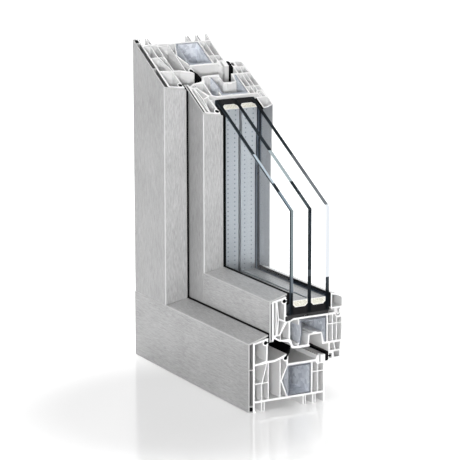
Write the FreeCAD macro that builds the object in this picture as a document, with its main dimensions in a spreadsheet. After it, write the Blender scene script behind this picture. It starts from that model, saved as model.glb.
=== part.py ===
import FreeCAD, Part
import math
import os
import Sketcher
from FreeCAD import Vector

# Lower left corner of a plastic window with aluminium covers and triple glazing, seen from outside.
# The bottom bars end in a square cut, and one slanting cut goes through the side bars and the glass.
# Every bar is drawn as a section: depth counts from the face of the frame cover towards the room,
# height counts from the outer edge of the frame. Bottom bars run along X and side bars along Z.

DIMENSIONS = [
    ("rail_length", 237.0, "outer corner to the square cut of the bottom bars"),
    ("jamb_height", 329.0, "outer corner to the highest point of the slanting cut"),
    ("cut_angle", 30.0, "slope of the slanting cut, in degrees"),
    ("outer_wall", 2.0, "outside walls of the plastic bars"),
    ("thin_web", 1.0, "webs between chambers"),
    ("cover_sheet", 1.4, "aluminium covers"),
    ("cover_bend", 1.5, "outer radius where a cover is bent"),
    ("cover_rib", 1.1, "ribs that hold a cover off the plastic"),
    ("cover_clearance", 0.15, "free height between a plastic top and its cover"),
    ("cover_gap", 3.65, "free depth behind the frame cover"),
    ("cover_lip", 4.2, "depth of the lip under the frame cover"),
    ("low_rib", 6.3, "height of the lower cover rib"),
    ("high_rib", 42.3, "height of the upper cover rib"),
    ("reveal_slope", 0.3016, "rise of the frame cover's return for each mm of depth"),
    ("frame_depth", 80.0, "plastic outer frame, front to back"),
    ("foot_height", 8.9, "feet under the outer frame"),
    ("foot_width", 1.15, "thickness of a foot"),
    ("foot_hook", 3.3, "width of the front foot's toe"),
    ("toe_height", 1.3, "thickness of the toe"),
    ("front_feet", 9.7, "middle of the first slender foot behind the plastic front"),
    ("middle_feet", 55.6, "the same for the second pair of feet"),
    ("back_feet", 66.5, "the same for the third pair of feet"),
    ("feet_pitch", 2.65, "distance between the two feet of a pair"),
    ("steel_fit", 0.7, "free space between a steel and its chamber"),
    ("frame_lip", 24.8, "plastic lip above the frame rebate"),
    ("lip_rise", 3.4, "rise of the lip's top towards the room"),
    ("lip_depth", 16.7, "depth of the lip at its top"),
    ("lip_root", 15.8, "depth of the lip at its root"),
    ("root_rise", 5.6, "height of the lip's root above the rebate floor"),
    ("nose_depth", 38.55, "depth of the nose that carries the middle gasket"),
    ("nose_rise", 10.1, "height of that nose above the rebate floor"),
    ("nose_bend", 23.15, "depth at which the slope up to the nose starts"),
    ("first_web", 9.65, "middle of the first upright web of the frame"),
    ("second_web", 16.85, "middle of the second one"),
    ("third_web", 29.85, "middle of the third one"),
    ("bay_end", 64.45, "room side of the frame's steel chamber"),
    ("bay_kink", 31.9, "tip of the bent web in front of the steel"),
    ("back_web", 71.95, "middle of the web behind the steel chamber"),
    ("front_floor", 27.85, "middle of the level web in front"),
    ("back_floor", 31.2, "middle of the level web behind"),
    ("upstand", 3.9, "height of the upstand behind the frame rebate"),
    ("upstand_start", 69.6, "where the upstand begins"),
    ("upstand_wall", 2.0, "thickness of the upstand in front of its slot"),
    ("upstand_slot", 2.0, "width of the slot for a fixed bead"),
    ("slot_depth", 7.2, "depth of that slot"),
    ("bay_width", 26.3, "steel chamber of the frame, in depth"),
    ("steel_height", 29.7, "steel tube of the frame, in height"),
    ("steel_sheet", 1.3, "wall of the frame steel"),
    ("frame_steel_start", 46.0, "start of the frame steels, clear of the weld"),
    ("gasket_groove", 1.95, "radius of the round gasket grooves"),
    ("groove_wall", 1.1, "plastic round those grooves"),
    ("groove_mouth", 1.5, "width of a groove's mouth"),
    ("soft_edge", 0.6, "radius of the extruded plastic edges"),
    ("gasket_fit", 0.1, "free space round a gasket's foot"),
    ("foot_hollow", 0.6, "radius of the hollow in a gasket's foot"),
    ("cover_seam", 0.25, "joint between two covers that meet at the corner"),
    ("packer_recess", 0.9, "groove in the glazing stop that takes the packer's tongue"),
    ("sash_setback", 17.95, "sash cover behind the plastic front of the frame"),
    ("sash_cover_gap", 1.5, "free depth behind the sash cover"),
    ("sash_reveal_slope", 0.285, "rise of the sash cover's return for each mm of depth"),
    ("sash_cover_drop", 1.1, "sash cover below the frame's lip top"),
    ("stop_gap", 1.5, "room for the outer gasket at the edge of the frame cover"),
    ("rebate_air", 13.9, "height between the frame rebate and the sash"),
    ("sash_body", 30.1, "sash height from its underside to the glazing floor"),
    ("glazing_stop", 19.0, "height of the sash front above the glazing floor"),
    ("stop_rise", 3.3, "rise of the sash top towards the glass"),
    ("stop_depth", 15.4, "depth of the sash in front of the glass"),
    ("pane_thickness", 4.0, "each glass pane"),
    ("outer_seal", 3.6, "gasket in front of the glass"),
    ("inner_seal", 2.1, "gasket behind the glass"),
    ("packer_height", 3.4, "glazing packers"),
    ("packer_length", 100.0, "length of a packer"),
    ("packer_margin", 0.6, "end of the bottom packer to the square cut"),
    ("edge_seal", 7.2, "black seal below the spacer bar"),
    ("spacer_height", 6.5, "height of the spacer bar"),
    ("spacer_chamfer", 2.5, "bevels at the foot of the spacer bar"),
    ("spacer_sheet", 0.5, "wall of the spacer bar"),
    ("bead_depth", 14.0, "bead, from the glass gasket to the room"),
    ("bead_step", 4.1, "seat of the bead above the glazing floor"),
    ("bead_height", 15.5, "bead beside the glass"),
    ("bead_slope", 4.4, "drop of the bead's top towards the room"),
    ("bead_wall", 1.4, "walls of the bead"),
    ("overlap_gap", 3.65, "sash leg behind the frame"),
    ("overlap_leg", 16.0, "leg below the sash that covers the frame"),
    ("overlap_depth", 16.3, "thickness of that leg"),
    ("hardware_start", 41.9, "groove for the fittings, from the sash front"),
    ("hardware_width", 13.0, "width of that groove"),
    ("hardware_depth", 11.2, "depth of that groove"),
    ("sash_bay_end", 60.7, "room side of the sash's steel chamber"),
    ("sash_bay_wall", 1.3, "wall between that chamber and the inner ones"),
    ("sash_steel_sheet", 1.3, "wall of the sash steel"),
    ("sash_steel_width", 29.0, "sash steel across its top"),
    ("sash_steel_bulge", 0.9, "how far the bent leg comes in"),
    ("sash_steel_drop", 1.1, "sash steel below the glazing floor's underside"),
    ("sash_steel_start", 92.0, "start of the sash steels, clear of the weld"),
]

doc = FreeCAD.newDocument("WindowCorner")


class Size:
    """A measure that carries its number and the formula that ties it to the table of sizes."""

    def __init__(self, number, formula):
        self.number = number
        self.formula = formula

    def joined(self, other, sign, number, swap=False):
        theirs = other.formula if isinstance(other, Size) else repr(float(other))
        first, second = (theirs, self.formula) if swap else (self.formula, theirs)
        return Size(number, f"({first} {sign} {second})")

    def __add__(self, other):
        return self.joined(other, "+", self.number + number_of(other))

    def __radd__(self, other):
        return self.joined(other, "+", number_of(other) + self.number, swap=True)

    def __sub__(self, other):
        return self.joined(other, "-", self.number - number_of(other))

    def __rsub__(self, other):
        return self.joined(other, "-", number_of(other) - self.number, swap=True)

    def __rmul__(self, other):
        return self.joined(other, "*", number_of(other) * self.number, swap=True)

    def __mul__(self, other):
        return self.joined(other, "*", self.number * number_of(other))

    def __truediv__(self, other):
        return self.joined(other, "/", self.number / number_of(other))


def number_of(value):
    return value.number if isinstance(value, Size) else float(value)


class Sheet:
    """The table of sizes, read by name."""

    def __init__(self, rows):
        cells = doc.addObject("Spreadsheet::Sheet", "Sizes")
        for row, (name, number, note) in enumerate(rows, start=1):
            cells.set(f"A{row}", note)
            cells.set(f"B{row}", str(number))
            cells.setAlias(f"B{row}", name)
            setattr(self, name, Size(number, f"Sizes.{name}"))


d = Sheet(DIMENSIONS)
doc.recompute()

cut_fall = Size(math.tan(math.radians(d.cut_angle.number)), "tan(Sizes.cut_angle)")
stock_length = d.rail_length + d.jamb_height

# Share by which a deeper window spreads the webs of its bars
frame_share = d.frame_depth / 80.0

# Depths shared by several pieces
frame_front = d.cover_sheet + d.cover_gap
frame_back = frame_front + d.frame_depth
sash_face = frame_front + d.sash_setback * frame_share
sash_front = sash_face + d.cover_sheet + d.sash_cover_gap
leg_face = frame_back + d.overlap_gap
sash_back = leg_face + d.overlap_depth
sash_share = (sash_back - sash_front) / 79.1
lip_back = frame_front + d.lip_depth * frame_share
nose = frame_front + d.nose_depth * frame_share
bay_web = sash_front + 18.8 * sash_share
glass_stop = sash_front + d.stop_depth * sash_share
outer_pane = glass_stop + d.outer_seal
bead_face = sash_back - d.bead_depth
inner_pane = bead_face - d.inner_seal - d.pane_thickness
cavity = (inner_pane - outer_pane - d.pane_thickness * 2) / 2
middle_pane = outer_pane + d.pane_thickness + cavity

# Heights shared by several pieces
bay_floor = d.foot_height + d.outer_wall
bay_top = bay_floor + d.steel_height + d.steel_fit
rebate_floor = bay_top + d.outer_wall
lip_top = rebate_floor + d.frame_lip
cover_corner = lip_top + d.cover_sheet + d.cover_clearance - d.reveal_slope * frame_front
sash_under = rebate_floor + d.rebate_air
glazing_floor = sash_under + d.sash_body
stop_top = glazing_floor + d.glazing_stop
sash_corner = stop_top + d.cover_sheet + d.cover_clearance - d.sash_reveal_slope * (sash_front - sash_face)
sash_seam = stop_top + d.cover_clearance
sash_cover_low = lip_top - d.sash_cover_drop
glass_edge = glazing_floor + d.packer_height
spacer_foot = glass_edge + d.edge_seal
spacer_top = spacer_foot + d.spacer_height
bead_seat = glazing_floor + d.bead_step

# Ends of the two cover returns, where the gaskets begin
reveal_end = sash_face - d.stop_gap
reveal_edge = cover_corner + d.reveal_slope * reveal_end
sash_reveal_end = glass_stop + d.cover_sheet / 2
sash_reveal_edge = sash_corner + d.sash_reveal_slope * (sash_reveal_end - sash_face)

# Centres of the round gasket grooves, as depth and height
frame_groove = (lip_back - 2.95, lip_top - 1.1)
nose_groove = (nose - 2.7, rebate_floor + d.nose_rise - 4.3)
stop_groove = (glass_stop - 2.1, stop_top - 1.0)


def origin_plane(body, role):
    return next(plane for plane in body.Origin.OriginFeatures if plane.Role == role)


def new_sketch(body, name, role):
    sketch = body.newObject("Sketcher::SketchObject", name)
    sketch.AttachmentSupport = [(origin_plane(body, role), "")]
    sketch.MapMode = "FlatFace"
    return sketch


def bind(sketch, constraints, formulas):
    """Add the constraints and tie the last ones of the list to their formulas."""
    first = sketch.ConstraintCount + len(constraints) - len(formulas)
    sketch.addConstraint(constraints)
    for offset, formula in enumerate(formulas):
        sketch.setExpression(f"Constraints[{first + offset}]", formula)


def polygon(body, name, corners, role="YZ_Plane"):
    """Closed outline through corners, each held by its two distances from the origin."""
    sketch = new_sketch(body, name, role)
    points = [Vector(number_of(across), number_of(up), 0) for across, up in corners]
    following = points[1:] + points[:1]
    sketch.addGeometry([Part.LineSegment(*ends) for ends in zip(points, following)], False)
    joints = []
    distances = []
    formulas = []
    for index, corner in enumerate(corners):
        joints.append(Sketcher.Constraint("Coincident", index, 2, (index + 1) % len(corners), 1))
        for kind, measure in zip(("DistanceX", "DistanceY"), corner):
            distances.append(Sketcher.Constraint(kind, -1, 1, index, 1, number_of(measure)))
            formulas.append(measure.formula if isinstance(measure, Size) else repr(float(measure)))
    bind(sketch, joints + distances, formulas)
    return sketch


def circle(body, name, centre, radius):
    sketch = new_sketch(body, name, "YZ_Plane")
    middle = Vector(centre[0].number, centre[1].number, 0)
    sketch.addGeometry(Part.Circle(middle, Vector(0, 0, 1), radius.number), False)
    measures = [
        Sketcher.Constraint("DistanceX", -1, 1, 0, 3, middle.x),
        Sketcher.Constraint("DistanceY", -1, 1, 0, 3, middle.y),
        Sketcher.Constraint("Radius", 0, radius.number),
    ]
    bind(sketch, measures, [centre[0].formula, centre[1].formula, radius.formula])
    return sketch


def pad(body, sketch, length, both_ways=False):
    feature = body.newObject("PartDesign::Pad", sketch.Name + "_pad")
    feature.Profile = sketch
    feature.setExpression("Length", length.formula)
    feature.Midplane = both_ways
    return feature


def cut(body, sketch):
    feature = body.newObject("PartDesign::Pocket", sketch.Name + "_cut")
    feature.Profile = sketch
    feature.Type = "ThroughAll"
    feature.Reversed = True
    return feature


def long_edges(shape, corners):
    """Names of the edges that run along the bar through the given corners of its section."""
    names = []
    for number, edge in enumerate(shape.Edges, start=1):
        ends = [vertex.Point for vertex in edge.Vertexes]
        if len(ends) != 2 or abs(ends[0].x - ends[1].x) < 1.0:
            continue
        for across, up in corners:
            if all(math.hypot(end.y - number_of(across), end.z - number_of(up)) < 0.001 for end in ends):
                names.append(f"Edge{number}")
    return names


def round_edges(body, corners, radius):
    base = body.Tip
    doc.recompute()
    fillet = body.newObject("PartDesign::Fillet", body.Name + "_round")
    fillet.Base = (base, long_edges(base.Shape, corners))
    fillet.setExpression("Radius", radius.formula)


def stock_bar(
    name, outline, chambers=(), bosses=(), holes=(), slots=(), additions=(), edges=(), radius=d.soft_edge
):
    """Uncut bar along X. Chambers go through the outline; additions, bosses, holes and slots follow.
    The corners listed as edges are rounded last."""
    body = doc.addObject("PartDesign::Body", name + "_stock")
    pad(body, polygon(body, name + "_outline", outline), stock_length)
    for index, corners in enumerate(chambers, start=1):
        cut(body, polygon(body, f"{name}_chamber_{index}", corners))
    for index, corners in enumerate(additions, start=1):
        pad(body, polygon(body, f"{name}_rib_{index}", corners), stock_length)
    for index, (centre, size) in enumerate(bosses, start=1):
        pad(body, circle(body, f"{name}_boss_{index}", centre, size), stock_length)
    for index, (centre, size) in enumerate(holes, start=1):
        cut(body, circle(body, f"{name}_groove_{index}", centre, size))
    for index, corners in enumerate(slots, start=1):
        cut(body, polygon(body, f"{name}_slot_{index}", corners))
    if edges:
        round_edges(body, edges, radius)
    return body


def box(start, end, low, high):
    return [(start, low), (end, low), (end, high), (start, high)]


def saw_shape(name, corners):
    """What a saw cut leaves: a prism through the whole depth, drawn as seen from outside."""
    body = doc.addObject("PartDesign::Body", name)
    pad(body, polygon(body, name + "_outline", corners, "XZ_Plane"), sash_back * 4, both_ways=True)
    return body


# Corners of the saw cuts, as width and height
reach = d.rail_length
slant_end = (d.rail_length, d.jamb_height - cut_fall * d.rail_length)
slant_corner = (d.jamb_height / (cut_fall + 1), d.jamb_height / (cut_fall + 1))
highest = (0.0, d.jamb_height)
outer_corner = (0.0, 0.0)

mitred_bottom = saw_shape("mitred_bottom", [outer_corner, (reach, 0.0), (reach, reach)])
mitred_side = saw_shape("mitred_side", [outer_corner, slant_corner, highest])
whole_width_bottom = saw_shape(
    "whole_width_bottom",
    [outer_corner, (reach, 0.0), (reach, reach), (cover_corner, cover_corner), (0.0, cover_corner)],
)
standing_side = saw_shape(
    "standing_side",
    [
        (0.0, cover_corner + d.cover_seam),
        (cover_corner, cover_corner + d.cover_seam),
        slant_corner,
        highest,
    ],
)
whole_height_side = saw_shape(
    "whole_height_side",
    [(0.0, sash_cover_low), (sash_seam, sash_cover_low), (sash_seam, sash_seam), slant_corner, highest],
)
butting_bottom = saw_shape(
    "butting_bottom",
    [
        (sash_seam + d.cover_seam, 0.0),
        (reach, 0.0),
        (reach, reach),
        (sash_seam + d.cover_seam, sash_seam),
    ],
)


def square_bottom(name, start):
    return saw_shape(name, box(start, reach, 0.0, reach))


def square_side(name, start):
    return saw_shape(name, [(0.0, start), (reach, start), slant_end, highest])


nodes = []


def finished(piece, label):
    """Name a piece and stand it over the middle of its footprint."""
    piece.Label = label
    piece.setExpression("Placement.Base.x", f"-{(d.rail_length / 2).formula}")
    piece.setExpression("Placement.Base.y", f"-{(sash_back / 2).formula}")
    nodes.append(piece)
    return piece


def common(name, first, second):
    piece = doc.addObject("Part::Common", name)
    piece.Base = first
    piece.Tool = second
    return piece


def sawn_pair(name, stock, bottom_saw, side_saw):
    """The bottom and the side bar that are sawn from one stock bar."""
    turned = doc.addObject("Part::Mirroring", name + "_turned")
    turned.Source = stock
    turned.Normal = Vector(1, 0, -1)
    return common(name + "_bottom", stock, bottom_saw), common(name + "_side", turned, side_saw)


def corner_bars(name, stock, bottom_saw=mitred_bottom, side_saw=mitred_side):
    bottom, side = sawn_pair(name, stock, bottom_saw, side_saw)
    finished(bottom, name + "_bottom")
    finished(side, name + "_side")


def corner_loop(name, stock):
    """One piece that runs round the corner."""
    bottom, side = sawn_pair(name, stock, mitred_bottom, mitred_side)
    loop = doc.addObject("Part::Fuse", name)
    loop.Base = bottom
    loop.Tool = side
    loop.Refine = True
    finished(loop, name)


def boxes_of_feet():
    """The slender feet under the frame, in three pairs, as depth spans."""
    middles = []
    for start in (d.front_feet, d.middle_feet, d.back_feet):
        first = frame_front + start * frame_share
        middles += [first, first + d.feet_pitch]
    return [box(m - d.foot_width / 2, m + d.foot_width / 2, 0.0, bay_floor) for m in middles]


def frame_profile():
    wall = d.outer_wall
    half = d.thin_web / 2
    inner = frame_front + wall
    back = frame_back - wall
    root = frame_front + d.lip_root * frame_share
    root_top = rebate_floor + d.root_rise
    bend = frame_front + d.nose_bend * frame_share
    nose_top = rebate_floor + d.nose_rise
    rise_start = frame_front + d.upstand_start * frame_share
    upstand_top = rebate_floor + d.upstand
    slot = rise_start + wall * 0.7 + d.upstand_wall
    slot_end = slot + d.upstand_slot
    slot_floor = upstand_top - d.slot_depth
    web_1 = frame_front + d.first_web * frame_share
    web_2 = frame_front + d.second_web * frame_share
    web_3 = frame_front + d.third_web * frame_share
    bay_end = frame_front + d.bay_end * frame_share
    bay_start = bay_end - d.bay_width * frame_share
    kink = frame_front + d.bay_kink * frame_share
    bay_wall_end = bay_end + wall - 0.5
    web_5 = frame_front + d.back_web * frame_share
    kink_height = (bay_floor + bay_top) / 2 + 1.2
    floor_under = root_top - wall
    nose_under = nose_top - wall

    outline = [
        (frame_front, 0.0),
        (frame_front + d.foot_hook, 0.0),
        (frame_front + d.foot_hook, d.toe_height),
        (inner, d.toe_height),
        (inner, d.foot_height),
        (back, d.foot_height),
        (back, 0.0),
        (frame_back, 0.0),
        (frame_back, upstand_top),
        (slot - d.upstand_wall, upstand_top),
        (rise_start, rebate_floor),
        (nose, rebate_floor),
        (nose, nose_top),
        (bend, root_top),
        (root, root_top),
        (lip_back, lip_top + d.lip_rise),
        (frame_front, lip_top),
    ]
    diagonal_foot = (web_1 + 0.1, d.front_floor + half)
    diagonal_head = (web_2 - 2.2, floor_under - 0.2)
    chambers = [
        [
            (inner, root_top - 1.7),
            (root - 1.6, root_top + 0.6),
            (lip_back - 1.7, lip_top + 1.3),
            (inner, lip_top - 1.3),
        ],
        [(inner, diagonal_foot[1]), diagonal_foot, diagonal_head, (inner, floor_under - 1.4)],
        [
            (diagonal_foot[0] + d.thin_web, diagonal_foot[1]),
            (web_2 - half, diagonal_foot[1]),
            (web_2 - half, floor_under),
            (diagonal_head[0] + d.thin_web, floor_under),
        ],
        box(inner, web_1 - half, bay_floor, d.front_floor - half),
        box(web_1 + half, web_2 - half, bay_floor, d.front_floor - half),
        [
            (web_2 + half, bay_floor),
            (web_3 - half, bay_floor),
            (web_3 - half, floor_under + 1.6),
            (bend, floor_under),
            (web_2 + half, floor_under),
        ],
        [
            (web_3 + half, bay_floor),
            (bay_start - 1.1, bay_floor),
            (kink - 1.2, kink_height - 0.8),
            (web_3 + half, kink_height - 0.8),
        ],
        [
            (web_3 + half, kink_height + 0.9),
            (kink - 1.1, kink_height + 0.9),
            (bay_start - 1.3, bay_top),
            (bay_start - 1.3, nose_under - 1.2),
            (web_3 + half, nose_under - 2.4),
        ],
        [
            (bay_start, bay_floor),
            (bay_end, bay_floor),
            (bay_end, bay_top),
            (bay_start, bay_top),
            (kink, kink_height),
        ],
        box(bay_wall_end, web_5 - half, bay_floor, d.back_floor - half),
        [
            (bay_wall_end, d.back_floor + half),
            (web_5 - half, d.back_floor + half),
            (web_5 - half, slot_floor - wall),
            (rise_start - 0.6, bay_top),
            (bay_wall_end, bay_top),
        ],
        box(web_5 + half, back, bay_floor, d.back_floor - half),
        box(web_5 + half, back, d.back_floor + half, slot_floor - wall * 0.8),
    ]
    ring = d.gasket_groove + d.groove_wall
    bosses = [(frame_groove, ring), (nose_groove, ring)]
    grooves = [(frame_groove, d.gasket_groove), (nose_groove, d.gasket_groove)]
    mouth = d.groove_mouth / 2
    slots = [
        box(slot, slot_end, slot_floor, upstand_top),
        box(frame_groove[0], lip_back + 0.3, frame_groove[1] - mouth, frame_groove[1] + mouth),
        [
            (nose_groove[0] - mouth, nose_groove[1] + mouth),
            (nose_groove[0] + mouth, nose_groove[1] - mouth),
            (nose + 0.2, nose_top - 2.1),
            (nose + 0.2, nose_top + 0.1),
            (nose - 0.9, nose_top + 0.1),
        ],
    ]
    edges = [
        (frame_front, lip_top),
        (lip_back, lip_top + d.lip_rise),
        (frame_back, upstand_top),
        (slot - d.upstand_wall, upstand_top),
    ]
    stock = stock_bar("frame_profile", outline, chambers, bosses, grooves, slots, boxes_of_feet(), edges)
    corner_bars("frame_profile", stock)


def frame_steel():
    end = frame_front + d.bay_end * frame_share - d.steel_fit
    start = end - d.bay_width * frame_share + d.steel_fit * 2
    top = bay_floor + d.steel_height
    sheet = d.steel_sheet
    hollow = box(start + sheet, end - sheet, bay_floor + sheet, top - sheet)
    stock = stock_bar("frame_steel", box(start, end, bay_floor, top), [hollow])
    bottom_saw = square_bottom("frame_steel_cut", d.frame_steel_start)
    side_saw = square_side("frame_steel_side_cut", d.frame_steel_start)
    corner_bars("frame_steel", stock, bottom_saw, side_saw)


def frame_cover():
    sheet = d.cover_sheet
    outline = [
        (0.0, 0.0),
        (d.cover_lip, 0.0),
        (d.cover_lip, sheet),
        (sheet, sheet),
        (sheet, cover_corner + d.reveal_slope * sheet - sheet),
        (reveal_end, reveal_edge - sheet),
        (reveal_end, reveal_edge),
        (0.0, cover_corner),
    ]
    ribs = [
        box(sheet, frame_front, height - d.cover_rib / 2, height + d.cover_rib / 2)
        for height in (d.low_rib, d.high_rib)
    ]
    bends = [(0.0, 0.0), (0.0, cover_corner)]
    stock = stock_bar("frame_cover", outline, additions=ribs, edges=bends, radius=d.cover_bend)
    corner_bars("frame_cover", stock, whole_width_bottom, standing_side)


def frame_cover_cord():
    radius = d.cover_gap / 2
    body = doc.addObject("PartDesign::Body", "frame_cover_cord_stock")
    centre = (d.cover_sheet + radius, d.cover_sheet + radius)
    pad(body, circle(body, "frame_cover_cord_round", centre, radius), stock_length)
    corner_bars("frame_cover_cord", body, whole_width_bottom, standing_side)


def gasket(name, foot, outline, stem):
    """Gasket with a round hollow foot in its groove, a stem through the mouth and an outline outside."""
    radius = d.gasket_groove - d.gasket_fit
    hollow = [(foot, d.foot_hollow)]
    stock = stock_bar(name, outline, bosses=[(foot, radius)], holes=hollow, additions=[stem])
    corner_bars(name, stock)


def frame_gaskets():
    foot_depth, foot_height = frame_groove
    half = d.groove_mouth / 2 - d.gasket_fit
    behind_lip = lip_back + 0.05
    strip = [
        (behind_lip, foot_height - 2.0),
        (sash_face, foot_height - 2.0),
        (sash_face, reveal_edge + 1.4),
        (reveal_end + 0.2, reveal_edge + 1.1),
        (reveal_end, reveal_edge),
        (reveal_end, lip_top + d.lip_rise + 0.5),
        (behind_lip, lip_top + d.lip_rise + 0.2),
    ]
    stem = box(foot_depth, behind_lip + 0.1, foot_height - half, foot_height + half)
    gasket("frame_outer_gasket", frame_groove, strip, stem)

    nose_top = rebate_floor + d.nose_rise
    touch = sash_under + 3.6
    tip = bay_web + 1.5
    blade = [
        (nose - 0.7, nose_top + 0.1),
        (nose + 0.2, nose_top - 1.9),
        (nose + 1.7, nose_top + 0.6),
        (tip - 0.5, nose_top + 3.4),
        (tip, nose_top + 6.4),
        (tip, touch),
        (tip - 1.2, touch + 0.3),
        (tip - 1.3, nose_top + 6.4),
        (tip - 1.9, nose_top + 3.4),
        (nose + 0.4, nose_top + 1.7),
    ]
    foot_depth, foot_height = nose_groove
    stem = [
        (foot_depth - 0.5, foot_height + 0.6),
        (foot_depth + 0.5, foot_height - 0.6),
        (nose + 0.2, nose_top - 1.9),
        (nose - 0.7, nose_top + 0.1),
    ]
    gasket("frame_middle_gasket", nose_groove, blade, stem)


def sash_profile():
    wall = d.outer_wall
    half = d.thin_web / 2
    inner = sash_front + wall - 0.2
    under = sash_under
    floor = glazing_floor
    floor_under = floor - wall + 0.2
    stop_inner = glass_stop - wall
    front_foot = under + 10.1
    belly = under + 2.3
    hard_start = sash_front + d.hardware_start * sash_share
    hard_end = hard_start + d.hardware_width
    hard_top = under + d.hardware_depth
    bay_end = sash_front + d.sash_bay_end * sash_share
    bay_wall_end = bay_end + d.sash_bay_wall
    leg_bottom = under - d.overlap_leg
    leg_back = sash_back - 1.8
    straight_web = sash_front + 4.5
    apex = sash_front + 7.3
    apex_height = floor + 0.8
    bay_start = bay_web + wall - 0.9
    web_start = bay_web - half
    web_1 = bay_wall_end + 5.3 * sash_share
    web_2 = web_1 + 4.7 * sash_share
    level_web = under + 19.4
    bead_slot = bead_face + 5.7
    bead_slot_end = bead_slot + 5.0
    slot_centre = (bead_slot + 2.5, floor - 1.1)
    slot_radius = (bead_slot_end - bead_slot) / 2
    back = sash_back - wall

    outline = [
        (sash_front, front_foot),
        (inner - 0.2, front_foot),
        (inner + 0.3, front_foot + 2.4),
        (inner + 1.3, front_foot + 2.2),
        (inner + 6.3, front_foot - 0.9),
        (bay_web - 3.9, front_foot - 1.9),
        (bay_web - 0.4, front_foot - 3.0),
        (bay_web + 1.5, front_foot - 5.6),
        (bay_web + 2.5, under + 1.3),
        (bay_web + 3.9, under + 0.5),
        (bay_web + 10.7, under),
        (hard_start, under),
        (hard_start, under + 1.3),
        (hard_start - 1.0, under + 2.0),
        (hard_start - 0.3, hard_top),
        (hard_end - 0.6, hard_top),
        (hard_end + 0.9, under + 0.3),
        (leg_face, under + 0.3),
        (leg_face, leg_bottom),
        (leg_back - 1.7, leg_bottom),
        (leg_back, leg_bottom + 1.8),
        (sash_back, under + 2.8),
        (sash_back, bead_seat),
        (bead_slot - 1.5, bead_seat),
        (bead_slot - 1.5, floor),
        (glass_stop + 8.3, floor),
        (glass_stop + 5.2, floor - 1.7),
        (glass_stop + 0.6, floor - 2.4),
        (glass_stop - d.packer_recess, floor - 1.4),
        (glass_stop - d.packer_recess, floor + 2.2),
        (glass_stop, floor + 3.0),
        (glass_stop, stop_top + d.stop_rise),
        (sash_front, stop_top),
    ]
    front_floor = front_foot + 5.7
    lower_floor = front_foot + 0.3
    chambers = [
        box(inner, straight_web - 0.45, front_floor, stop_top - 1.1),
        [
            (straight_web + 0.45, front_floor + 1.6),
            (apex - 0.7, apex_height),
            (straight_web + 0.45, stop_top - 3.4),
        ],
        [
            (inner + 4.1, stop_top - 0.6),
            (apex + 0.3, apex_height + 0.6),
            (stop_inner, floor - 0.8),
            (stop_inner, stop_top + 0.9),
        ],
        [
            (inner + 4.2, front_floor),
            (inner + 6.1, front_floor + 0.2),
            (stop_inner + 0.5, floor - 2.5),
            (apex + 0.3, apex_height - 0.6),
        ],
        [
            (inner + 7.8, lower_floor),
            (web_start, lower_floor),
            (web_start, floor - 3.4),
            (web_start - 1.9, floor - 3.4),
            (inner + 7.5, front_foot + 5.6),
        ],
        [
            (inner + 2.3, front_foot + 3.3),
            (inner + 6.9, front_foot + 0.6),
            (inner + 7.2, front_floor - 1.2),
            (inner + 2.4, front_floor - 1.1),
        ],
        [
            (bay_start, lower_floor - 0.6),
            (bay_start + 1.7, front_foot - 2.2),
            (bay_start + 3.1, belly + 0.7),
            (bay_start + 4.6, belly),
            (hard_start - wall - 1.3, belly),
            (hard_start - 2.3, belly + 1.2),
            (hard_start - 1.6, hard_top + 0.3),
            (hard_start - 0.4, hard_top + 1.5),
            (hard_start + 2.6, hard_top + 1.5),
            (hard_start + 3.4, hard_top + 2.7),
            (hard_start + 7.4, hard_top + 2.7),
            (hard_start + 8.2, hard_top + 1.5),
            (hard_end + 0.3, hard_top + 1.5),
            (hard_end + 1.6, hard_top - 3.1),
            (hard_end + 2.8, belly),
            (bay_end, belly),
            (bay_end, floor_under),
            (bay_start + 3.4, floor_under),
            (bay_start, floor_under - 1.7),
        ],
        box(bay_wall_end, web_1 - half, belly, level_web - half),
        box(bay_wall_end, web_1 - half, level_web + half, floor_under),
        box(web_1 + half, web_2 - half, belly, level_web - half),
        box(web_1 + half, web_2 - half, level_web + half, floor_under),
        box(web_2 + half, back, belly, level_web - half),
        box(web_2 + half, back, level_web + half, floor - 5.2),
        [
            (leg_face + 1.8, under - 7.2),
            (leg_face + 7.2, under - 7.2),
            (leg_face + 5.6, under + 0.3),
            (leg_face + 1.8, under + 0.3),
        ],
        [
            (leg_face + 8.3, under - 7.2),
            (leg_back - wall, under - 7.2),
            (leg_back - wall + 1.0, under + 0.3),
            (leg_face + 6.7, under + 0.3),
        ],
        box(leg_face + 5.9, leg_back - wall, leg_bottom + 1.6, under - 8.6),
    ]
    ring = d.gasket_groove + d.groove_wall
    mouth = d.groove_mouth / 2
    bosses = [(stop_groove, ring), (slot_centre, slot_radius + 1.4)]
    grooves = [(stop_groove, d.gasket_groove), (slot_centre, slot_radius)]
    mouth_middle = leg_bottom + 3.6
    slots = [
        box(stop_groove[0], glass_stop + 1.2, stop_groove[1] - mouth, stop_groove[1] + mouth),
        box(leg_face + 1.0, leg_face + 3.7, leg_bottom + 1.1, leg_bottom + 6.2),
        box(leg_face, leg_face + 1.5, mouth_middle - mouth, mouth_middle + mouth),
        box(bead_slot, bead_slot_end, slot_centre[1], bead_seat),
    ]
    nibs = [
        box(bay_start + 8.8, bay_start + 9.9, floor_under - 5.4, floor_under + 0.5),
        box(bay_start + 8.6, bay_start + 9.7, belly - 0.5, belly + 2.8),
        box(glass_stop - 0.5, glass_stop + 1.0, floor + 2.8, floor + 3.6),
    ]
    edges = [
        (leg_face, leg_bottom),
        (leg_back - 1.7, leg_bottom),
        (sash_back, under + 2.8),
        (hard_start, under),
        (bay_web + 2.5, under + 1.3),
    ]
    stock = stock_bar("sash_profile", outline, chambers, bosses, grooves, slots, nibs, edges)
    corner_bars("sash_profile", stock)


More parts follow.
